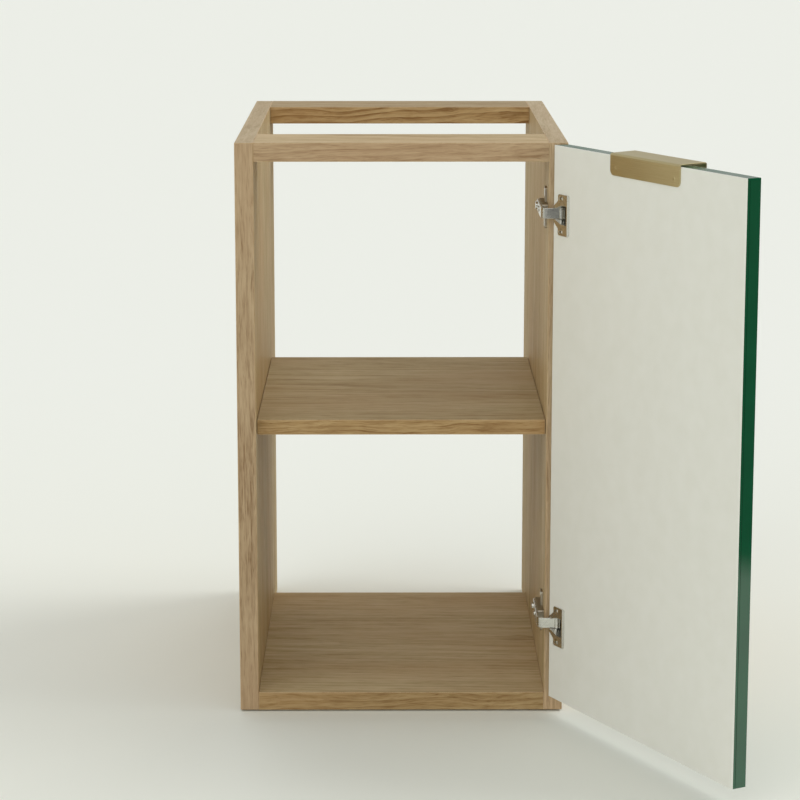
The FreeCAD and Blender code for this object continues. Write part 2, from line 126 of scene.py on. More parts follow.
class Graph:
    """Adds and joins the nodes of one node tree."""

    def __init__(self, tree: bpy.types.NodeTree) -> None:
        """Start by emptying the tree of a material, a world or a group."""
        self.tree = tree
        tree.nodes.clear()

    def feed(self, socket: bpy.types.NodeSocket, value: object) -> None:
        """Give an input its value.

        Args:
            socket: Input of a node.
            value: Another node's output to join, or a constant.
        """
        if isinstance(value, bpy.types.NodeSocket):
            self.tree.links.new(value, socket)
        else:
            socket.default_value = value

    def fill(self, node: bpy.types.Node, sockets: dict[str | int, object]) -> None:
        """Give each named or numbered input of a node a constant or an output to join."""
        for name, value in sockets.items():
            self.feed(node.inputs[name], value)

    def add(
        self, kind: str, sockets: dict[str | int, object] | None = None, **settings: object,
    ) -> bpy.types.Node:
        """Add one node.

        Args:
            kind: Type of the node, without its prefix.
            sockets: Inputs to fill.
            settings: Attributes of the node itself.

        Returns:
            The new node.
        """
        node = self.tree.nodes.new("ShaderNode" + kind)
        for name, value in settings.items():
            setattr(node, name, value)
        self.fill(node, sockets or {})
        return node

    def reckon(self, operation: str, first: object, second: object) -> bpy.types.NodeSocket:
        """Result of a Math node that reads two constants or outputs."""
        return self.add("Math", {0: first, 1: second}, operation=operation).outputs[0]

    def weigh(self, parts: dict[bpy.types.NodeSocket, object]) -> bpy.types.NodeSocket:
        """Sum of several outputs, each with its own weight.

        Args:
            parts: Weight of each output, as a constant or an output.

        Returns:
            The sum's output.
        """
        total: object = 0.0
        for value, weight in parts.items():
            total = self.add("Math", {0: value, 1: weight, 2: total}, operation="MULTIPLY_ADD").outputs[0]
        return total

    def spread(
        self, value: object, low: float, high: float, to_low: float = 0.0, to_high: float = 1.0,
    ) -> bpy.types.NodeSocket:
        """Value moved from the range low, high to the range to_low, to_high, and held inside it."""
        ends = {"Value": value, "From Min": low, "From Max": high, "To Min": to_low, "To Max": to_high}
        return self.add("MapRange", ends).outputs["Result"]

    def blend(self, share: object, first: object, second: object) -> bpy.types.NodeSocket:
        """Mix of two colours, with this share of the second."""
        sockets = {MIX_SHARE: share, MIX_FIRST: first, MIX_SECOND: second}
        return self.add("Mix", sockets, data_type="RGBA").outputs[MIX_RESULT]

    def stretch(self, vector: object, factors: Place) -> bpy.types.NodeSocket:
        """Vector with each axis multiplied by its own factor."""
        return self.add("VectorMath", {0: vector, 1: factors}, operation="MULTIPLY").outputs[0]

    def noise(
        self, vector: object, scale: object, detail: float, roughness: float = 0.5,
    ) -> bpy.types.NodeSocket:
        """Noise read at a place, with scale as marks in a metre and detail as the number of finer layers."""
        sockets = {"Vector": vector, "Scale": scale, "Detail": detail, "Roughness": roughness}
        return self.add("TexNoise", sockets).outputs[0]


@dataclass(frozen=True)
class Mark:
    """One kind of mark in a wood, drawn out along its grain."""

    squeeze: float
    scale: float
    detail: float
    roughness: float
    faint: float
    full: float
    away: float = 0.0
    within: float = 1.0
    share: float = 1.0

    def mask(self, graph: Graph, place: bpy.types.NodeSocket) -> bpy.types.NodeSocket:
        """Where the marks lie.

        Args:
            graph: Graph to add to.
            place: Place on a board whose grain runs along the first axis.

        Returns:
            The mask's output.
        """
        drawn = graph.stretch(place, (self.squeeze, 1.0, 1.0))
        marks = graph.noise(drawn, self.scale, self.detail, self.roughness)
        return graph.spread(marks, self.faint, self.full, self.away, self.within)


FIBRE = Mark(squeeze=0.05, scale=640.0, detail=5.0, roughness=0.66, faint=0.32, full=0.68, share=0.36)
STREAK = Mark(squeeze=0.13, scale=120.0, detail=4.0, roughness=0.62, faint=0.34, full=0.68, share=0.36)
FLECK = Mark(squeeze=0.06, scale=900.0, detail=2.0, roughness=0.6, faint=0.5, full=0.72)
PORE = Mark(squeeze=0.035, scale=1500.0, detail=1.0, roughness=0.5, faint=0.6, full=0.72, share=0.35)
PATCH = Mark(squeeze=0.35, scale=11.0, detail=2.0, roughness=0.5, faint=0.4, full=0.7, share=0.45)
LEAF = Mark(squeeze=0.1, scale=30.0, detail=2.0, roughness=0.6, faint=0.3, full=0.7, away=-0.5, within=0.5)


class Patterns:
    """Patterns that several finishes share, each built once as a node group."""

    tone_pale: ClassVar[float] = 0.15
    tone_middle: ClassVar[float] = 0.55
    tone_dark: ClassVar[float] = 1.0
    lacquer: ClassVar[tuple[float, float]] = (0.44, 0.58)
    fibre_height: ClassVar[float] = 0.5
    skin_height: ClassVar[float] = 0.3

    def __init__(self) -> None:
        """Build the three groups."""
        self.wood = self._wood_figure()
        self.metal = self._drawn_metal()
        self.peel = self._fine_peel()

    @staticmethod
    def _start(name: str, inputs: dict[str, str], outputs: dict[str, str]) -> tuple[Graph, dict, dict]:
        """Make an empty group with its sockets.

        Args:
            name: Name of the group.
            inputs: Socket kinds by input name.
            outputs: Socket kinds by output name.

        Returns:
            The group's graph, its inputs as outputs to read, and its outputs as inputs to feed.
        """
        tree = bpy.data.node_groups.new(name, "ShaderNodeTree")
        for socket, kind in inputs.items():
            tree.interface.new_socket(socket, in_out="INPUT", socket_type="NodeSocket" + kind)
        for socket, kind in outputs.items():
            tree.interface.new_socket(socket, in_out="OUTPUT", socket_type="NodeSocket" + kind)
        graph = Graph(tree)
        given = tree.nodes.new("NodeGroupInput").outputs
        result = tree.nodes.new("NodeGroupOutput").inputs
        return graph, {name: given[name] for name in inputs}, {name: result[name] for name in outputs}

    def _wood_figure(self) -> bpy.types.NodeTree:
        """Growth rings, streaks, flecks and pores of a board whose grain runs along the first axis.

        Returns:
            The group.
        """
        graph, given, result = self._start(
            "wood_figure",
            {"Vector": "Vector", "Rings": "Float", "Figure": "Float", "Fleck": "Float", "Leaf": "Float",
             "Waver": "Float", "Pale": "Color", "Middle": "Color", "Dark": "Color", "Warm": "Color"},
            {"Color": "Color", "Roughness": "Float", "Height": "Float"},
        )
        slow = graph.stretch(given["Vector"], (0.5, 1.0, 1.0))
        drift = graph.add("TexNoise", {"Vector": slow, "Scale": 24.0})
        centred = graph.add(
            "VectorMath", {0: drift.outputs["Color"], 1: (0.5, 0.5, 0.5)}, operation="SUBTRACT")
        shift = graph.add("VectorMath", {0: centred.outputs[0], "Scale": given["Waver"]}, operation="SCALE")
        place = graph.add("VectorMath", {0: given["Vector"], 1: shift.outputs[0]}, operation="ADD").outputs[0]
        wave = graph.add(
            "TexWave",
            {"Vector": graph.stretch(place, (0.07, 1.0, 1.0)), "Scale": given["Rings"], "Distortion": 7.0,
             "Detail": 3.0, "Detail Scale": 0.45, "Detail Roughness": 0.6},
            wave_type="RINGS", rings_direction="X", wave_profile="SAW",
        )
        ring = graph.spread(wave.outputs["Fac"], low=0.25, high=1.0)
        fibre, streak, fleck, pore, patch, leaf = (
            mark.mask(graph, place) for mark in (FIBRE, STREAK, FLECK, PORE, PATCH, LEAF))
        tone = graph.weigh({ring: given["Figure"], fibre: FIBRE.share, streak: STREAK.share,
                            fleck: given["Fleck"], leaf: given["Leaf"]})
        colour = graph.blend(
            graph.spread(tone, self.tone_pale, self.tone_middle), given["Pale"], given["Middle"])
        colour = graph.blend(graph.spread(tone, self.tone_middle, self.tone_dark), colour, given["Dark"])
        colour = graph.blend(graph.reckon("MULTIPLY", patch, PATCH.share), colour, given["Warm"])
        colour = graph.blend(graph.reckon("MULTIPLY", pore, PORE.share), colour, given["Dark"])
        graph.feed(result["Color"], colour)
        graph.feed(result["Roughness"], graph.spread(tone, 0.0, 1.0, *self.lacquer))
        graph.feed(result["Height"], graph.weigh({fibre: self.fibre_height, pore: -1.0}))
        return graph.tree

    def _drawn_metal(self) -> bpy.types.NodeTree:
        """Fine drawing lines along the first axis, with a few wider smudges.

        Returns:
            The group.
        """
        graph, given, result = self._start(
            "drawn_metal",
            {"Vector": "Vector", "Lines": "Float"},
            {"Tone": "Float", "Smudge": "Float", "Height": "Float"},
        )
        drawn = graph.stretch(given["Vector"], (0.012, 1.0, 1.0))
        lines = graph.noise(drawn, given["Lines"], detail=3.0, roughness=0.6)
        smudge = graph.noise(given["Vector"], scale=90.0, detail=3.0, roughness=0.55)
        graph.feed(result["Tone"], graph.spread(lines, low=0.3, high=0.7))
        graph.feed(result["Smudge"], graph.spread(smudge, low=0.35, high=0.68))
        graph.feed(result["Height"], lines)
        return graph.tree

    def _fine_peel(self) -> bpy.types.NodeTree:
        """Faint unevenness of a coated sheet: a fine skin over slow waves.

        Returns:
            The group.
        """
        graph, given, result = self._start(
            "fine_peel",
            {"Vector": "Vector", "Skin": "Float", "Waves": "Float"},
            {"Tone": "Float", "Smudge": "Float", "Height": "Float"},
        )
        skin = graph.noise(given["Vector"], given["Skin"], detail=2.0)
        waves = graph.noise(given["Vector"], given["Waves"], detail=2.0)
        smudge = graph.noise(given["Vector"], scale=23.0, detail=4.0, roughness=0.6)
        graph.feed(result["Tone"], graph.spread(waves, low=0.3, high=0.7))
        graph.feed(result["Smudge"], graph.spread(smudge, low=0.35, high=0.7))
        graph.feed(result["Height"], graph.weigh({skin: self.skin_height, waves: 1.0}))
        return graph.tree


# Finishes


def new_material(name: str) -> tuple[bpy.types.Material, Graph, bpy.types.Node]:
    """Make a material with an empty tree and one joined shader.

    Args:
        name: Name of the material.

    Returns:
        The material, its graph and its shader node.
    """
    material = bpy.data.materials.new(name)
    material.use_nodes = True
    graph = Graph(material.node_tree)
    shader = graph.add("BsdfPrincipled")
    graph.add("OutputMaterial", {"Surface": shader.outputs[0]})
    return material, graph, shader


@dataclass(frozen=True)
class WoodTones:
    """Colours of a wood, from its early growth to its late growth, and of its warmer patches."""

    pale: Colour
    middle: Colour
    dark: Colour
    warm: Colour

    def shaded(self, share: float) -> "WoodTones":
        """The same wood with this share of its brightness."""
        tones = (self.pale, self.middle, self.dark, self.warm)
        return WoodTones(*(tuple(value * share for value in tone[:3]) + tone[3:] for tone in tones))


OAK = WoodTones(tint(202, 182, 147), tint(185, 164, 128), tint(148, 122, 86), tint(187, 157, 118))
# Paler than OAK: painted light that lifts the shaded inside faces of the boards.
OAK_INSIDE_PAINTED_LIGHT = WoodTones(tint(210, 191, 151), tint(193, 172, 131), tint(156, 130, 91), tint(195, 163, 121))
OAK_OUTSIDE = WoodTones(tint(202, 180, 145), tint(185, 161, 125), tint(148, 121, 86), tint(188, 156, 118))
OAK_STRIP = WoodTones(tint(203, 178, 143), tint(184, 157, 123), tint(144, 115, 82), tint(188, 152, 116))
GOLDEN_STRIP = WoodTones(tint(208, 178, 130), tint(190, 157, 108), tint(146, 110, 66), tint(192, 149, 98))
# Paler oak for the rounded arrises: a painted highlight along the softened edges.
HIGHLIGHT_OAK_TONES = WoodTones(tint(210, 188, 150), tint(196, 170, 132), tint(164, 134, 96), tint(200, 164, 124))
BEECH_WOOD = WoodTones(tint(222, 194, 158), tint(206, 172, 134), tint(176, 136, 98), tint(210, 166, 130))


@dataclass(frozen=True)
class WoodFinish:
    """Matt lacquered wood with its own cut of the figure."""

    name: str
    grain: Grain
    tones: WoodTones = OAK
    start: Place = (0.0, 0.0, 0.0)
    lean: tuple[float, float] = (2.0, 1.0)
    ring_width: float = 7 * MM
    figure: float = 0.24
    fleck: float = 0.3
    waver: float = 5 * MM
    leaf: float = 0.3
    specular: float = 0.2
    relief: float = 0.3
    grain_depth: float = 0.15 * MM

    def material(self, patterns: Patterns) -> bpy.types.Material:
        """Build the material.

        Args:
            patterns: Shared node groups.

        Returns:
            The finished material.
        """
        material, graph, shader = new_material(self.name)
        across, up = (math.radians(angle) for angle in self.lean)
        lean = Matrix.Rotation(across, 3, "Z") @ Matrix.Rotation(up, 3, "Y")
        mapped = graph.add("Mapping", {
            "Vector": graph.add("TexCoord").outputs["Object"],
            "Location": self.start,
            "Rotation": (lean @ self.grain.turn()).to_euler("XYZ"),
        })
        figure = graph.add("Group", {
            "Vector": mapped.outputs[0], "Rings": RING_STEP / self.ring_width,
            "Figure": self.figure, "Fleck": self.fleck, "Leaf": self.leaf, "Waver": self.waver,
            "Pale": self.tones.pale, "Middle": self.tones.middle, "Dark": self.tones.dark,
            "Warm": self.tones.warm,
        }, node_tree=patterns.wood).outputs
        relief = graph.add("Bump", {
            "Height": figure["Height"], "Strength": self.relief, "Distance": self.grain_depth})
        graph.fill(shader, {
            "Base Color": figure["Color"], "Roughness": figure["Roughness"], "Normal": relief.outputs[0],
            "Specular IOR Level": self.specular,
        })
        return material


@dataclass(frozen=True)
class MetalFinish:
    """Bare or plated metal with fine drawing lines."""

    name: str
    pale: Colour
    dark: Colour
    polish: tuple[float, float] = (0.22, 0.38)
    turn: Place = (0.0, 0.0, 0.0)
    lines: float = 2600.0
    relief: float = 0.12
    line_depth: float = 0.05 * MM
    rim: Colour = tint(255, 255, 255)

    def material(self, patterns: Patterns) -> bpy.types.Material:
        """Build the material.

        Args:
            patterns: Shared node groups.

        Returns:
            The finished material.
        """
        material, graph, shader = new_material(self.name)
        mapped = graph.add("Mapping", {
            "Vector": graph.add("TexCoord").outputs["Object"],
            "Rotation": [math.radians(angle) for angle in self.turn],
        })
        drawn = graph.add(
            "Group", {"Vector": mapped.outputs[0], "Lines": self.lines}, node_tree=patterns.metal).outputs
        relief = graph.add("Bump", {
            "Height": drawn["Height"], "Strength": self.relief, "Distance": self.line_depth})
        graph.fill(shader, {
            "Base Color": graph.blend(drawn["Tone"], self.dark, self.pale),
            "Roughness": graph.spread(drawn["Smudge"], 0.0, 1.0, *self.polish),
            "Normal": relief.outputs[0], "Metallic": 1.0, "Specular Tint": self.rim,
        })
        return material


@dataclass(frozen=True)
class CoatedFinish:
    """Coloured sheet with a smooth factory coat."""

    name: str
    pale: Colour
    dark: Colour
    polish: tuple[float, float]
    specular: float = 0.5
    coat: float = 0.0
    coat_roughness: float = 0.03
    skin: float = 900.0
    waves: float = 60.0
    relief: float = 0.1
    peel_depth: float = 0.1 * MM

    def material(self, patterns: Patterns) -> bpy.types.Material:
        """Build the material.

        Args:
            patterns: Shared node groups.

        Returns:
            The finished material.
        """
        material, graph, shader = new_material(self.name)
        peel = graph.add("Group", {
            "Vector": graph.add("TexCoord").outputs["Object"], "Skin": self.skin, "Waves": self.waves,
        }, node_tree=patterns.peel).outputs
        relief = graph.add("Bump", {
            "Height": peel["Height"], "Strength": self.relief, "Distance": self.peel_depth})
        graph.fill(shader, {
            "Base Color": graph.blend(peel["Tone"], self.dark, self.pale),
            "Roughness": graph.spread(peel["Smudge"], 0.0, 1.0, *self.polish),
            "Normal": relief.outputs[0], "Specular IOR Level": self.specular,
            "Coat Weight": self.coat, "Coat Roughness": self.coat_roughness,
        })
        return material


Finish = WoodFinish | MetalFinish | CoatedFinish

WHITE_LINING = CoatedFinish(
    "white_lining", tint(241, 241, 233), tint(238, 238, 229), (0.34, 0.46), specular=0.4)
GREEN_GLOSS = CoatedFinish(
    "green_gloss", tint(8, 82, 51), tint(5, 75, 46), (0.06, 0.085), coat=1.0,
    skin=400.0, waves=25.0, relief=0.02)
GREEN_SATIN = CoatedFinish(
    "green_satin", tint(12, 84, 54), tint(8, 76, 48), (0.14, 0.24), specular=0.1,
    skin=400.0, waves=25.0, relief=0.05)
FIBREBOARD = CoatedFinish(
    "fibreboard", tint(176, 146, 110), tint(152, 122, 88), (0.75, 0.9), specular=0.2, waves=700.0)
BRASS = MetalFinish(
    "champagne_brass", tint(213, 198, 154), tint(199, 183, 137), (0.32, 0.36), turn=(0.0, 0.0, -118.0),
    rim=tint(250, 249, 243))
NICKEL = MetalFinish("satin_nickel", tint(220, 219, 212), tint(204, 203, 196), (0.22, 0.3))
# Browner nickel for the mounting plates: painted reflection of the oak walls round them, in the base colour
# and in the rim tint.
PLATE_NICKEL_PAINTED_REFLECTION = MetalFinish(
    "nickel_painted_wood_reflection", tint(196, 188, 172), tint(180, 172, 156), (0.34, 0.44), rim=tint(178, 164, 142))
PLATED = MetalFinish("plated_steel", tint(222, 220, 212), tint(204, 202, 194), (0.12, 0.2), lines=1800.0)
ZINC = MetalFinish(
    "cast_zinc", tint(170, 170, 166), tint(136, 136, 132), (0.38, 0.55), lines=700.0, relief=0.3)
BEECH = WoodFinish("beech_dowel", Grain.ACROSS, BEECH_WOOD)
# Painted highlight: the arrises are paler than the faces.
PAINTED_HIGHLIGHT_OAK = WoodFinish("oak_arris_painted_highlight", Grain.UPRIGHT, HIGHLIGHT_OAK_TONES)


class Palette:
    """Hands out one material for each finish."""

    def __init__(self) -> None:
        """Start with the shared patterns and no materials."""
        self.patterns = Patterns()
        self.made: dict[Finish, bpy.types.Material] = {}

    def of(self, finish: Finish) -> bpy.types.Material:
        """Material of a finish, made the first time it is asked for.

        Args:
            finish: The finish.

        Returns:
            Its material.
        """
        if finish not in self.made:
            self.made[finish] = finish.material(self.patterns)
        return self.made[finish]


# Mesh work


def sharp_edges(
    bm: BMesh, keep: Callable[[Vector], bool] = lambda middle: True, least: float = SHARP,
) -> list[BMEdge]:
    """Outward edges between faces that meet at a clear angle.

    Args:
        bm: Mesh to search.
        keep: Test of an edge's middle.
        least: Angle that counts as clear.

    Returns:
        The edges that pass.
    """
    return [
        edge for edge in bm.edges
        if edge.is_convex and edge.calc_face_angle() > least
        and keep((edge.verts[0].co + edge.verts[1].co) / 2)
    ]


def box_arrises(bm: BMesh, low: Vector, high: Vector) -> list[BMEdge]:
    """Sharp edges that lie on the edges of a box.

    Args:
        bm: Mesh to search.
        low: Lowest corner of the box.
        high: Highest corner of the box.

    Returns:
        The edges found.
    """
    def on_two_sides(middle: Vector) -> bool:
        """Whether a point lies on two sides of the box at once."""
        return sum(min(abs(middle[i] - low[i]), abs(middle[i] - high[i])) < ON_PLANE for i in range(3)) >= 2

    return sharp_edges(bm, on_two_sides)


def round_edges(bm: BMesh, edges: Sequence[BMEdge], radius: float, segments: int = 2) -> list[BMFace]:
    """Round edges over.

    Args:
        bm: Mesh to change.
        edges: Edges to round.
        radius: Size of the rounding.
        segments: Facets across the rounding.

    Returns:
        The faces of the rounding.
    """
    return bmesh.ops.bevel(
        bm, geom=list(edges), offset=radius, offset_type="OFFSET", segments=segments, profile=0.5,
        affect="EDGES", clamp_overlap=True, material=-1)["faces"]


def bent_section(bm: BMesh, corners: Sequence[Vector], bends: dict[int, float], run: Vector) -> None:
    """Extrude a section whose chosen corners are bent round.

    Args:
        bm: Empty mesh to build in.
        corners: Corners of the section in order.
        bends: Radius of each bent corner, by its number.
        run: Direction and length of the extrusion.
    """
    verts = [bm.verts.new(corner) for corner in corners]
    bm.faces.new(verts)
    for number, radius in bends.items():
        bmesh.ops.bevel(
            bm, geom=[verts[number]], offset=radius, offset_type="OFFSET", segments=BEND_FACETS, profile=0.5,
            affect="VERTICES", material=-1)
    made = bmesh.ops.extrude_face_region(bm, geom=bm.faces[:])["geom"]
    bmesh.ops.translate(bm, vec=run, verts=[item for item in made if isinstance(item, BMVert)])
    bmesh.ops.recalc_face_normals(bm, faces=bm.faces[:])


def add_bar(bm: BMesh, diameter: float, length: float, seat: Matrix, softness: float) -> None:
    """Add a round bar with softened ends.

    Args:
        bm: Mesh to add to.
        diameter: Diameter of the bar.
        length: Length of the bar, half on each side of its place.
        seat: Place of the bar, which lies along the third axis.
        softness: Rounding of the ends.
    """
    made = bmesh.ops.create_cone(
        bm, cap_ends=True, cap_tris=False, segments=BAR_FACETS, radius1=diameter / 2, radius2=diameter / 2,
        depth=length)
    verts = made["verts"]
    ends = {edge for vert in verts for edge in vert.link_edges if edge.calc_face_angle() > SHARP}
    bmesh.ops.transform(bm, matrix=seat, verts=verts)
    round_edges(bm, list(ends), softness, segments=3)


@dataclass(frozen=True)
class Screw:
    """Screw with a crowned head and a recess for the driver.

    The shares of the recess are of the head's diameter, and those of its slots are of the head's grid.
    """

    head: float
    shank: float
    length: float
    drive: Drive = Drive.CROSS
    stand: float = 0.0
    crown: float = 0.35 * MM
    cells: ClassVar[int] = 6
    grid: ClassVar[float] = 0.31
    slot_half: ClassVar[float] = 0.34
    slot_reach: ClassVar[float] = 0.67
    wall_lean: ClassVar[float] = 0.03
    sink: ClassVar[float] = 0.2
    room: ClassVar[float] = 0.6

    def clear_of(self, middle: Vector, seat: Vector) -> bool:
        """Whether an edge lies clear of the hole that the head sits in."""
        return (middle - seat).length > self.room * self.head

    @staticmethod
    def _ring(bm: BMesh, edges: list[BMEdge], radius: float, depth: float) -> list[BMEdge]:
        """Extrude a ring of edges to a circle.

        Args:
            bm: Mesh being built.
            edges: Ring to extrude.
            radius: Radius of the new ring.
            depth: How far below the old ring it lies.

        Returns:
            The new ring.
        """
        made = bmesh.ops.extrude_edge_only(bm, edges=edges)["geom"]
        verts = [item for item in made if isinstance(item, BMVert)]
        for vert in verts:
            vert.co.xy = vert.co.xy.normalized() * radius
        bmesh.ops.translate(bm, vec=(0.0, 0.0, -depth), verts=verts)
        new_edges = (item for item in made if isinstance(item, BMEdge))
        return [edge for edge in new_edges if all(vert in verts for vert in edge.verts)]

    def _in_recess(self, face: BMFace, reach: float) -> bool:
        """Whether a face of the head belongs to the recess.

        Args:
            face: Face of the head's grid.
            reach: Half the grid's size.

        Returns:
            True where the driver goes in.
        """
        x, y = (abs(value) / reach for value in face.calc_center_median().xy)
        along = x < self.slot_half and y < self.slot_reach
        across = y < self.slot_half and x < self.slot_reach
        return along or (self.drive is Drive.CROSS and across)

    def build(self, bm: BMesh, seat: Matrix) -> None:
        """Add the screw.

        Args:
            bm: Mesh to add to.
            seat: Place under the head's rim, with the third axis out of the head.
        """
        old_verts, old_faces = set(bm.verts), set(bm.faces)
        reach, radius = self.grid * self.head, self.head / 2
        bmesh.ops.create_grid(bm, x_segments=self.cells, y_segments=self.cells, size=reach)
        rim = self._ring(bm, [edge for edge in bm.edges if edge.is_boundary], radius, 0.0)
        recess = [face for face in bm.faces if face not in old_faces and self._in_recess(face, reach)]
        bmesh.ops.inset_region(
            bm, faces=recess, thickness=self.wall_lean * self.head, depth=-self.sink * self.head,
            use_even_offset=True)
        for vert in set(bm.verts) - old_verts:
            out = min(vert.co.xy.length / radius, 1.0)
            vert.co.z += self.stand + self.crown * (1 - out ** 2)
        if self.stand:
            rim = self._ring(bm, rim, radius, self.stand)
        taper = radius - self.shank / 2
        if taper:
            rim = self._ring(bm, rim, self.shank / 2, 0.0 if self.stand else taper)
        rim = self._ring(bm, rim, self.shank / 2, self.length - taper)
        bmesh.ops.edgeloop_fill(bm, edges=rim)
        bmesh.ops.recalc_face_normals(bm, faces=[face for face in bm.faces if face not in old_faces])
        bmesh.ops.transform(bm, matrix=seat, verts=[vert for vert in bm.verts if vert not in old_verts])


def facing(place: Vector, outward: Vector) -> Matrix:
    """Matrix with its origin at a place and its third axis pointing outward."""
    return Matrix.Translation(place) @ outward.to_track_quat("Z", "Y").to_matrix().to_4x4()


@dataclass(frozen=True)
class DoorSwing:
    """The door's turn about its hinge pins."""

    pivot: Place
    angle: float

    @classmethod
    def of_joint(cls, name: str) -> "DoorSwing":
        """Turn from shut to open, from a joint whose lower limit is the shut door."""
        joint = next(joint for joint in frame["joints"] if joint["name"] == name)
        return cls(tuple(joint["pos_m"]), math.radians(-joint["range_deg"][0]))

    def _turn(self, bm: BMesh, angle: float) -> None:
        """Turn a whole mesh about the pins."""
        bmesh.ops.rotate(bm, cent=self.pivot, matrix=Matrix.Rotation(angle, 3, "Z"), verts=bm.verts[:])

    def shut(self, bm: BMesh) -> None:
        """Turn a mesh from the open door to the shut one."""
        self._turn(bm, -self.angle)

    def open(self, bm: BMesh) -> None:
        """Turn a mesh from the shut door to the open one."""
        self._turn(bm, self.angle)


def reach_of(source: BMesh | Sequence[Vector]) -> tuple[Vector, Vector]:
    """Lowest and highest corner of a mesh or of some points.

    Args:
        source: The mesh or the points.

    Returns:
        The two corners.
    """
    points = [vert.co for vert in source.verts] if isinstance(source, BMesh) else source
    axes = list(zip(*points))
    return Vector(map(min, axes)), Vector(map(max, axes))


# Sub-assemblies


@dataclass
class SubAssembly:
    """Pieces that are made together and ride on one body."""

    palette: Palette
    body: str

    def node_copy(self, node: str) -> BMesh:
        """Merged copy of a node's mesh with its flat faces made whole.

        Args:
            node: Name of the node.

        Returns:
            The copy.
        """
        bm = bmesh.new()
        bm.from_mesh(frame["nodes"][node].data)
        bmesh.ops.remove_doubles(bm, verts=bm.verts[:], dist=SAME_POINT)
        bmesh.ops.dissolve_limit(bm, angle_limit=FLAT, verts=bm.verts[:], edges=bm.edges[:])
        return bm

    def place(self, bm: BMesh, node: str, slot: str, *finishes: Finish) -> None:
        """Turn a mesh into the piece that stands for a node.

        Args:
            bm: Mesh in its place. It is freed.
            node: Node that the piece stands for.
            slot: Material slot of the record. Not used.
            finishes: Finish of each material number in the mesh.
        """
        name = node + "_finished"
        mesh = bpy.data.meshes.new(name)
        bm.to_mesh(mesh)
        bm.free()
        stored = mesh.attributes.get("custom_normal")
        if stored:
            mesh.attributes.remove(stored)
        for finish in finishes:
            mesh.materials.append(self.palette.of(finish))
        mesh.shade_smooth()
        mesh.set_sharp_from_angle(angle=SHARP)
        piece = bpy.data.objects.new(name, mesh)
        bpy.context.scene.collection.objects.link(piece)
        normals = piece.modifiers.new("flat faces stay flat", "WEIGHTED_NORMAL")
        normals.keep_sharp = True
        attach(piece, self.body)
        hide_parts(node)
        LOG.info("%s: %d faces on %s", name, len(mesh.polygons), self.body)

    def keep(self, node: str, finish: Finish) -> None:
        """Dress a node whose shape is already right.

        Args:
            node: Name of the node.
            finish: Its finish.
        """
        materials = frame["nodes"][node].data.materials
        materials.clear()
        materials.append(self.palette.of(finish))
        LOG.info("%s: kept on %s", node, self.body)


@dataclass(frozen=True)
class Board:
    """One board with the edging strip on its front."""

    panel: str
    strip: str
    grain: Grain
    start: Place
    lean: tuple[float, float] = (2.0, 1.0)
    tones: WoodTones = OAK_INSIDE_PAINTED_LIGHT
    strip_tones: WoodTones = OAK_STRIP
    strip_lean: tuple[float, float] = (0.6, 0.8)
    strip_figure: float = 0.3
    strip_waver: float = 6 * MM


class BoardPart(IntEnum):
    """Material number of each part of a board. Only an upright board has ends and an outside in sight."""

    FACE = 0
    ARRIS = 1
    END = 2
    OUTSIDE = 3


@dataclass
class Woodwork(SubAssembly):
    """Oak boards with softened arrises."""

    arris: float = 0.5 * MM
    face_specular: float = 0.03
    # Share of brightness left on the ends of upright boards: painted shade.
    painted_end_shade: float = 0.92
    strip_shift: float = 0.31
    strip_rings: float = 5 * MM
    strip_fleck: float = 0.4

    def _finishes(self, board: Board) -> dict[str, list[Finish]]:
        """Finishes of a board and its strip.

        Args:
            board: The board.

        Returns:
            The finishes by node, in the order of their material numbers.
        """
        face = WoodFinish("oak_" + board.panel, board.grain, board.tones, board.start, board.lean,
                          specular=self.face_specular)
        strip_start = tuple(value + self.strip_shift for value in board.start)
        front = WoodFinish(
            "oak_" + board.strip, board.grain, board.strip_tones, strip_start, board.strip_lean,
            self.strip_rings, board.strip_figure, self.strip_fleck, board.strip_waver)
        shared: list[Finish] = [PAINTED_HIGHLIGHT_OAK]
        if board.grain is Grain.UPRIGHT:
            # The ends, with grain along the depth, are a darker copy of the oak: painted shade on the tops,
            # which face the lamps.
            shared.append(WoodFinish(
                "oak_ends_" + board.panel, Grain.ALONG_DEPTH, OAK.shaded(self.painted_end_shade), board.start[::-1],
                board.lean, figure=0.16, fleck=0.2, waver=2 * MM, leaf=0.1))
            shared.append(WoodFinish(
                "oak_outside_" + board.panel, board.grain, OAK_OUTSIDE, board.start, board.lean))
        return {board.panel: [face, *shared], board.strip: [front, *shared]}

    @staticmethod
    def _number_upright(bm: BMesh, outward: float) -> None:
        """Number the ends and the outer face of an upright board.

        Args:
            bm: Mesh of the board or its strip.
            outward: Sign of the side that looks out of the cabinet.
        """
        for side in bm.faces:
            if abs(side.normal.z) > ALONG_AXIS:
                side.material_index = BoardPart.END
            elif side.normal.x * outward > ALONG_AXIS:
                side.material_index = BoardPart.OUTSIDE

    def make_board(self, board: Board) -> None:
        """Build a board and its strip.

        Args:
            board: What to build.
        """
        finishes = self._finishes(board)
        low, high = reach_of([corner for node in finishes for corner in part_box(node)])
        for node, slot in ((board.panel, "oak_board"), (board.strip, "oak_edging")):
            bm = self.node_copy(node)
            if board.grain is Grain.UPRIGHT:
                self._number_upright(bm, math.copysign(1.0, low.x + high.x))
            for side in round_edges(bm, box_arrises(bm, low, high), self.arris):
                side.material_index = BoardPart.ARRIS
            self.place(bm, node, slot, *finishes[node])


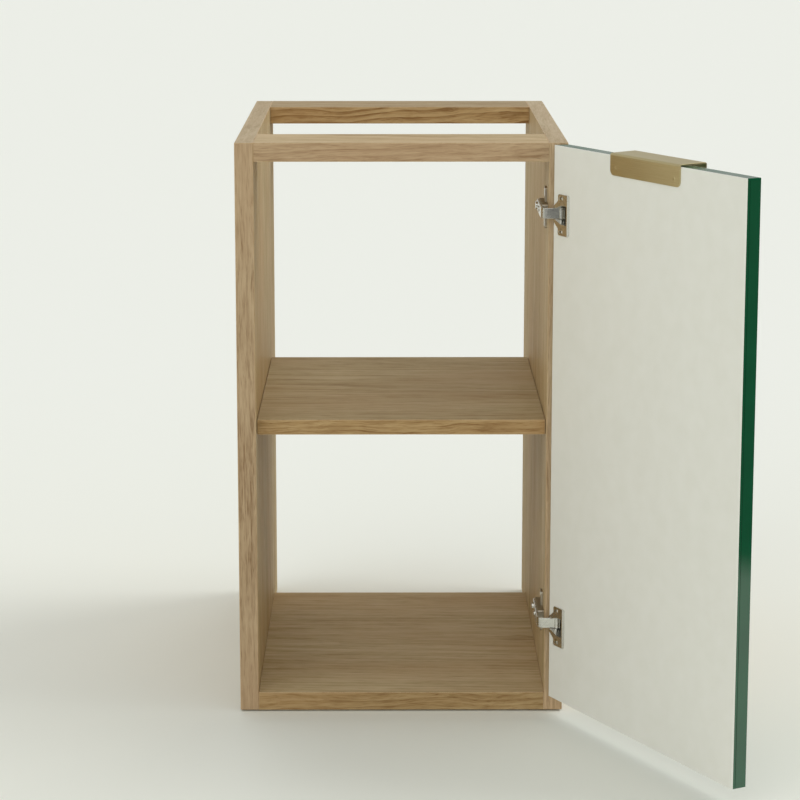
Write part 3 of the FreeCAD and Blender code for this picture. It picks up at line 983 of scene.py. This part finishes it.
@dataclass
class Carcass(Woodwork):
    """Sides, bottom and top rails."""

    # Each shaded() share is painted light and shade on that board's copy of the oak: the back rail, the
    # bottom strip and the left strip darker, the front rail and the right strip lighter, the right strip to
    # make up for the shade of the open door, and the bottom panel barely lighter.
    boards: tuple[Board, ...] = (
        Board("left_side_panel", "left_side_edging", Grain.UPRIGHT, (0.0, 0.06, -0.11),
              strip_tones=OAK_STRIP.shaded(0.94), strip_figure=0.18),
        Board("right_side_panel", "right_side_edging", Grain.UPRIGHT, (0.3, -0.05, 0.21),
              strip_tones=OAK_STRIP.shaded(1.14), strip_figure=0.22),
        Board("bottom_panel", "bottom_edging", Grain.ACROSS, (0.1, 0.03, 0.07),
              tones=OAK_INSIDE_PAINTED_LIGHT.shaded(1.01), strip_tones=GOLDEN_STRIP.shaded(0.8), strip_waver=14 * MM),
        Board("front_top_rail", "front_rail_edging", Grain.ACROSS, (0.2, 0.15, -0.46),
              tones=OAK.shaded(1.07), strip_lean=(0.6, 2.0), strip_waver=10 * MM),
        Board("back_top_rail", "back_rail_edging", Grain.ACROSS, (0.6, -0.18, -0.49), lean=(3.0, 4.0),
              tones=OAK.shaded(0.8), strip_tones=GOLDEN_STRIP, strip_lean=(1.2, 3.5), strip_figure=0.6,
              strip_waver=14 * MM),
    )

    def build(self) -> None:
        """Build every board."""
        for board in self.boards:
            self.make_board(board)


@dataclass
class Shelf(Woodwork):
    """Loose shelf and the pins that carry it."""

    # The shelf's shaded() shares are painted shade: the shelf and its strip are darker than the other inside
    # boards, where the rails and sides shade them.
    board: Board = Board(
        "shelf_panel", "shelf_edging", Grain.ACROSS, (0.4, 0.02, -0.2),
        tones=OAK_INSIDE_PAINTED_LIGHT.shaded(0.86), strip_tones=GOLDEN_STRIP.shaded(0.86), strip_waver=10 * MM)
    pin_softness: float = 0.3 * MM

    def build(self) -> None:
        """Build the shelf and its pins."""
        self.make_board(self.board)
        bm = self.node_copy("shelf_pins")
        round_edges(bm, sharp_edges(bm), self.pin_softness)
        self.place(bm, "shelf_pins", "plated_screw", PLATED)


@dataclass
class JointFittings(SubAssembly):
    """Dowels and cam fittings inside the boards."""

    def build(self) -> None:
        """Dress the fittings, whose shapes are already right."""
        for node, finish in (("wooden_dowels", BEECH), ("cam_bolts", ZINC), ("cam_discs", ZINC)):
            self.keep(node, finish)


@dataclass
class CarcassHinges(SubAssembly):
    """Mounting plates, bent arms and their screws on the right side."""

    swing: DoorSwing
    arm_thickness: float = 1.8 * MM
    arm_bend: float = 6 * MM
    arm_end: float = 4 * MM
    arm_softness: float = 0.4 * MM
    eye_bore: float = 3.1 * MM
    eye: float = 5.4 * MM
    wing: float = 2 * MM
    plate_softness: float = 0.6 * MM
    bore_room: float = 3 * MM
    wing_line: float = 37 * MM
    wing_screws: float = 28 * MM
    fixing_line: float = 50 * MM
    adjuster_line: float = 24 * MM
    wing_screw: Screw = Screw(8 * MM, 5 * MM, 15 * MM)
    fixing_screw: Screw = Screw(7.5 * MM, 4 * MM, 5 * MM, Drive.SLOT, stand=1.7 * MM)
    adjuster: Screw = Screw(5 * MM, 5 * MM, 1.8 * MM, Drive.SLOT, stand=1.1 * MM, crown=0.1 * MM)

    def _plate(self, node: str) -> None:
        """Soften the rim of a mounting plate.

        Args:
            node: Name of the plate's node.
        """
        low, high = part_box(node)
        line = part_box("right_side_edging")[0].y + self.wing_line
        middle_z = (low.z + high.z) / 2

        def on_rim(middle: Vector) -> bool:
            """Whether a point lies on a rim that looks into the cabinet, and clear of the holes.

            Args:
                middle: Middle of an edge.

            Returns:
                True on such a rim.
            """
            at_face = min(abs(middle.x - low.x), abs(middle.x - high.x + self.wing)) < ON_PLANE
            seats = [Vector((middle.x, line, middle_z + side * self.wing_screws / 2)) for side in (-1, 1)]
            at_bore = (abs(middle.z - middle_z) < self.bore_room
                       and low.y + self.bore_room < middle.y < high.y - self.bore_room)
            return at_face and not at_bore and all(self.wing_screw.clear_of(middle, seat) for seat in seats)

        bm = self.node_copy(node)
        round_edges(bm, sharp_edges(bm, on_rim), self.plate_softness, segments=3)
        self.place(bm, node, "nickel_hinge", PLATE_NICKEL_PAINTED_REFLECTION)

    def _arm(self, node: str) -> None:
        """Bend an arm from strip and give it its eye.

        Args:
            node: Name of the arm's node.
        """
        low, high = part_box(node)
        half = self.arm_thickness / 2
        x, y, _ = self.swing.pivot
        back, run = high.y, Vector((0.0, 0.0, high.z - low.z))
        outline = [(low.x + 2 * half, back), (low.x + 2 * half, y + half), (x, y + half),
                   (x, y - half), (low.x, y - half), (low.x, back)]
        bm = bmesh.new()
        bent_section(bm, [Vector((px, py, low.z)) for px, py in outline],
                     {1: self.arm_bend - half, 4: self.arm_bend + half}, run)
        ends = sharp_edges(bm, lambda middle: middle.y > back - ON_PLANE
                           and abs(middle.x - low.x - half) < ON_PLANE)
        round_edges(bm, ends, self.arm_end, segments=6)
        strip = sharp_edges(bm, lambda middle: middle.x < x - ON_PLANE)
        round_edges(bm, strip, self.arm_softness, segments=3)
        old = set(bm.verts)
        ring = [bm.verts.new((x + diameter / 2, y, z)) for diameter, z in (
            (self.eye_bore, low.z), (self.eye, low.z), (self.eye, high.z), (self.eye_bore, high.z))]
        section = [bm.edges.new((ring[i], ring[i - 1])) for i in range(len(ring))]
        bmesh.ops.spin(bm, geom=ring + section, cent=(x, y, 0.0), axis=(0.0, 0.0, 1.0), dvec=(0.0, 0.0, 0.0),
                       angle=math.tau, steps=EYE_FACETS, use_merge=True, use_duplicate=False)
        eye_faces = [face for face in bm.faces if all(vert not in old for vert in face.verts)]
        bmesh.ops.recalc_face_normals(bm, faces=eye_faces)
        self.place(bm, node, "nickel_hinge", NICKEL)

    def build(self) -> None:
        """Build the carcass halves of both hinges."""
        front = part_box("right_side_edging")[0].y
        inward = Vector((-1.0, 0.0, 0.0))
        wing, fixing, adjusting = bmesh.new(), bmesh.new(), bmesh.new()
        for which in ("upper", "lower"):
            self._plate(which + "_mounting_plate")
            self._arm(which + "_hinge_arm")
            _, plate_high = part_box(which + "_mounting_plate")
            arm_low, arm_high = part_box(which + "_hinge_arm")
            x, z = plate_high.x - self.wing, (arm_low.z + arm_high.z) / 2
            for side in (-1, 1):
                seat = Vector((x, front + self.wing_line, z + side * self.wing_screws / 2))
                self.wing_screw.build(wing, facing(seat, inward))
            seat = Vector((arm_low.x, front + self.fixing_line, z))
            self.fixing_screw.build(fixing, facing(seat, inward))
            seat = Vector((arm_low.x, front + self.adjuster_line, z))
            self.adjuster.build(adjusting, facing(seat, inward))
        self.place(wing, "mounting_plate_screws", "plated_screw", PLATED)
        self.place(fixing, "arm_fixing_screws", "plated_screw", PLATED)
        self.place(adjusting, "arm_adjusting_screws", "plated_screw", PLATED)


@dataclass
class DoorWork(SubAssembly):
    """Pieces that are built on the shut door and then swung open with it."""

    swing: DoorSwing

    def shut_copy(self, node: str) -> BMesh:
        """Copy of a node's mesh, turned to the shut door.

        Args:
            node: Name of the node.

        Returns:
            The copy.
        """
        bm = self.node_copy(node)
        self.swing.shut(bm)
        return bm

    def leaf(self) -> tuple[Vector, Vector]:
        """Lowest and highest corner of the shut door's leaf.

        Returns:
            The two corners.
        """
        corners = []
        for node in ("door_lining", "door_top_edging"):
            bm = self.shut_copy(node)
            corners += reach_of(bm)
            bm.free()
        return reach_of(corners)


@dataclass
class DoorHinges(DoorWork):
    """Cups, pins and cup screws in the door."""

    rim_softness: float = 0.5 * MM
    slope: float = math.radians(15)
    screw_inset: float = 14 * MM
    screw_spacing: float = 30 * MM
    flange: float = 1.3 * MM
    pin: float = 3 * MM
    pin_softness: float = 0.3 * MM
    screw: Screw = Screw(6 * MM, 3.5 * MM, 10 * MM, crown=0.5 * MM)

    def build(self) -> None:
        """Build the door halves of both hinges."""
        _, edge = self.leaf()
        face = edge.y + self.flange
        screws = bmesh.new()
        for which in ("upper", "lower"):
            low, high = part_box(which + "_hinge_pin")
            z = (low.z + high.z) / 2
            seats = [Vector((edge.x - self.screw_inset, face, z + side * self.screw_spacing / 2))
                     for side in (-1, 1)]
            bm = self.shut_copy(which + "_hinge_cup")
            rim = sharp_edges(bm, lambda middle: abs(middle.y - face) < ON_PLANE and all(
                self.screw.clear_of(middle, seat) for seat in seats), self.slope)
            round_edges(bm, rim, self.rim_softness, segments=3)
            self.swing.open(bm)
            self.place(bm, which + "_hinge_cup", "nickel_hinge", NICKEL)
            for seat in seats:
                self.screw.build(screws, facing(seat, Vector((0.0, 1.0, 0.0))))
            pin = bmesh.new()
            add_bar(pin, self.pin, high.z - low.z, Matrix.Translation((low + high) / 2), self.pin_softness)
            self.place(pin, which + "_hinge_pin", "nickel_hinge", NICKEL)
        self.swing.open(screws)
        self.place(screws, "hinge_cup_screws", "plated_screw", PLATED)


@dataclass
class Door(DoorWork):
    """Lined board, gloss face and the strips round its edges."""

    arris: float = 0.4 * MM
    lining: str = "door_lining"
    upper_strip: str = "door_top_edging"
    glossy: tuple[str, ...] = (
        "door_gloss_face", "door_bottom_edging", "door_free_edging", "door_hinge_edging")

    def build(self) -> None:
        """Build the leaf of the door."""
        self.keep("door_panel", FIBREBOARD)
        pieces = {node: self.shut_copy(node) for node in (self.lining, self.upper_strip, *self.glossy)}
        low, high = reach_of([corner for bm in pieces.values() for corner in reach_of(bm)])
        for node, bm in pieces.items():
            round_edges(bm, box_arrises(bm, low, high), self.arris, segments=3)
            self.swing.open(bm)
            if node == self.lining:
                self.place(bm, node, "white_lining", WHITE_LINING)
            else:
                green = GREEN_SATIN if node == self.upper_strip else GREEN_GLOSS
                self.place(bm, node, "green_gloss", green)


@dataclass
class EdgePull(DoorWork):
    """Bent sheet pull over the door's top edge."""

    length: float = 107 * MM
    sheet: float = 1.2 * MM
    top_gap: float = 0.8 * MM
    drop: float = 17.2 * MM
    rise: float = 0.79 * MM
    overhang: float = 12 * MM
    lip: float = 5 * MM
    bend: float = 2 * MM
    corner: float = 5 * MM
    softness: float = 0.25 * MM
    screw_inset: float = 8.5 * MM
    screw_drop: float = 10.5 * MM
    screw: Screw = Screw(3.6 * MM, 2.2 * MM, 8 * MM, crown=0.2 * MM)

    def build(self) -> None:
        """Build the pull and its screws."""
        low, high = self.leaf()
        middle = (low.x + high.x) / 2
        left, foot = middle - self.length / 2, high.z - self.drop
        under = high.z + self.top_gap
        over, plate, lip = under + self.sheet, high.y + self.sheet, low.y - self.overhang
        tip, lip_back = over + self.rise, lip + self.sheet
        slope = self.rise / (plate - lip)
        outline = [(plate, foot), (plate, over), (lip, tip), (lip, tip - self.lip),
                   (lip_back, tip - self.lip), (lip_back, under + slope * (high.y - lip_back)),
                   (high.y, under), (high.y, foot)]
        bm = bmesh.new()
        inner = self.bend - self.sheet
        bent_section(bm, [Vector((left, y, z)) for y, z in outline],
                     {1: self.bend, 2: self.bend, 5: inner, 6: inner}, Vector((self.length, 0.0, 0.0)))
        corners = sharp_edges(bm, lambda place: abs(place.z - foot) < ON_PLANE
                              and abs(place.y - plate + self.sheet / 2) < ON_PLANE)
        round_edges(bm, corners, self.corner, segments=8)
        round_edges(bm, sharp_edges(bm), self.softness, segments=3)
        self.swing.open(bm)
        self.place(bm, "edge_pull", "brass", BRASS)
        screws = bmesh.new()
        for side in (-1, 1):
            along = middle + side * (self.length / 2 - self.screw_inset)
            seat = Vector((along, plate, high.z - self.screw_drop))
            self.screw.build(screws, facing(seat, Vector((0.0, 1.0, 0.0))))
        self.swing.open(screws)
        self.place(screws, "edge_pull_screws", "brass", BRASS)


# Studio


@dataclass(frozen=True)
class Lamp:
    """Wide soft lamp that shines from one direction."""

    name: str
    strength: float
    softness: float
    source: Place
    colour: Place
    glint: bool = True

    def build(self) -> None:
        """Hang the lamp."""
        light = bpy.data.lights.new(self.name, "SUN")
        light.energy = self.strength
        light.angle = math.radians(self.softness)
        light.color = self.colour
        lamp = bpy.data.objects.new(self.name, light)
        lamp.location = self.source
        lamp.rotation_euler = (-Vector(self.source)).to_track_quat("-Z", "Y").to_euler()
        lamp.visible_glossy = self.glint
        bpy.context.scene.collection.objects.link(lamp)


@dataclass
class Studio:
    """Floor, light and camera."""

    floor_half: float = 40.0
    floor_drop: float = 1.5 * MM
    floor_near: Colour = tint(244, 246, 238)
    floor_far: Colour = tint(245, 247, 242)
    floor_fade: tuple[float, float] = (-0.6, 1.5)
    floor_roughness: float = 0.9
    floor_specular: float = 0.1
    # Painted reflection: the colour that glossy rays see on the floor beyond the edges below, standing in for
    # a dark room.
    painted_dark_reflection: Colour = tint(70, 70, 68)
    reflection_edge_right: float = 0.95
    reflection_edge_front: float = -1.1
    right_fade: float = 0.1
    front_fade: float = 1.3
    sky_low: Colour = (0.595, 0.6, 0.583, 1.0)
    sky_high: Colour = (0.54, 0.546, 0.532, 1.0)
    sky_top: float = 0.9
    lamps: tuple[Lamp, ...] = (
        Lamp("key_lamp", 0.92, 40.0, (1.0, 0.15, 1.05), (1.0, 0.985, 0.95)),
        Lamp("front_fill", 0.5, 70.0, (-0.5, -1.0, 0.55), (1.0, 1.0, 0.99)),
        Lamp("back_fill", 0.6, 60.0, (0.1, 1.0, 0.5), (1.0, 1.0, 0.99), glint=False),
    )
    picture: float = 800.0
    sensor: float = 36.0
    far_end: float = 200.0
    focus: float = 2721.0
    pitch: float = 11.264
    yaw: float = -0.232
    eye: Place = (-0.011, -2.6522, 0.7804)

    def _floor(self) -> None:
        """Lay the pale floor, with a painted dark reflection for glossy rays beyond its right and front
        edges.
        """
        bm = bmesh.new()
        bmesh.ops.create_grid(bm, x_segments=1, y_segments=1, size=self.floor_half)
        bmesh.ops.translate(bm, vec=(0.0, 0.0, -self.floor_drop), verts=bm.verts[:])
        mesh = bpy.data.meshes.new("floor")
        bm.to_mesh(mesh)
        bm.free()
        material, graph, shader = new_material("pale_floor")
        parts = graph.add("SeparateXYZ", {0: graph.add("TexCoord").outputs["Object"]})
        depth = graph.spread(parts.outputs["Y"], *self.floor_fade)
        pale = graph.blend(depth, self.floor_near, self.floor_far)
        # Painted reflection: beyond these edges glossy rays see the dark colour, while camera and diffuse
        # rays still see the pale floor.
        aside = graph.reckon(
            "MAXIMUM", graph.spread(parts.outputs["X"], self.reflection_edge_right, self.reflection_edge_right + self.right_fade),
            graph.spread(parts.outputs["Y"], self.reflection_edge_front, self.reflection_edge_front - self.front_fade))
        painted_reflection_share = graph.reckon("MULTIPLY", aside, graph.add("LightPath").outputs["Is Glossy Ray"])
        graph.fill(shader, {
            "Base Color": graph.blend(painted_reflection_share, pale, self.painted_dark_reflection),
            "Roughness": self.floor_roughness, "Specular IOR Level": self.floor_specular,
        })
        mesh.materials.append(material)
        floor = bpy.data.objects.new("floor", mesh)
        bpy.context.scene.collection.objects.link(floor)

    def _light(self) -> None:
        """Set the soft sky and the lamps."""
        world = bpy.data.worlds.new("soft_sky")
        world.use_nodes = True
        graph = Graph(world.node_tree)
        parts = graph.add("SeparateXYZ", {0: graph.add("TexCoord").outputs["Generated"]})
        sky = graph.blend(graph.spread(parts.outputs["Z"], 0.0, self.sky_top), self.sky_low, self.sky_high)
        ground = graph.add("Background", {"Color": sky, "Strength": 1.0})
        graph.add("OutputWorld", {"Surface": ground.outputs[0]})
        bpy.context.scene.world = world
        for lamp in self.lamps:
            lamp.build()

    def _camera(self) -> None:
        """Stand the camera where the picture was taken from."""
        lens = bpy.data.cameras.new("camera")
        lens.sensor_width = self.sensor
        lens.lens = self.focus / self.picture * self.sensor
        lens.clip_end = self.far_end
        camera = bpy.data.objects.new("camera", lens)
        camera.location = self.eye
        camera.rotation_euler = (math.radians(90.0 - self.pitch), 0.0, math.radians(self.yaw))
        bpy.context.scene.collection.objects.link(camera)
        bpy.context.scene.camera = camera

    def build(self) -> None:
        """Set up the whole studio."""
        bpy.context.scene.view_settings.view_transform = "Standard"
        self._floor()
        self._light()
        self._camera()


def main() -> None:
    """Build the cabinet and its studio."""
    logging.basicConfig(level=logging.INFO, format="%(name)s %(message)s")
    palette = Palette()
    swing = DoorSwing.of_joint("door_swing")
    assemblies: Iterable[SubAssembly] = (
        Carcass(palette, "carcass"),
        Shelf(palette, "carcass"),
        JointFittings(palette, "carcass"),
        CarcassHinges(palette, "carcass", swing),
        DoorHinges(palette, "door", swing),
        Door(palette, "door", swing),
        EdgePull(palette, "door", swing),
    )
    for assembly in assemblies:
        assembly.build()
    Studio().build()


if __name__ == "__main__":
    main()
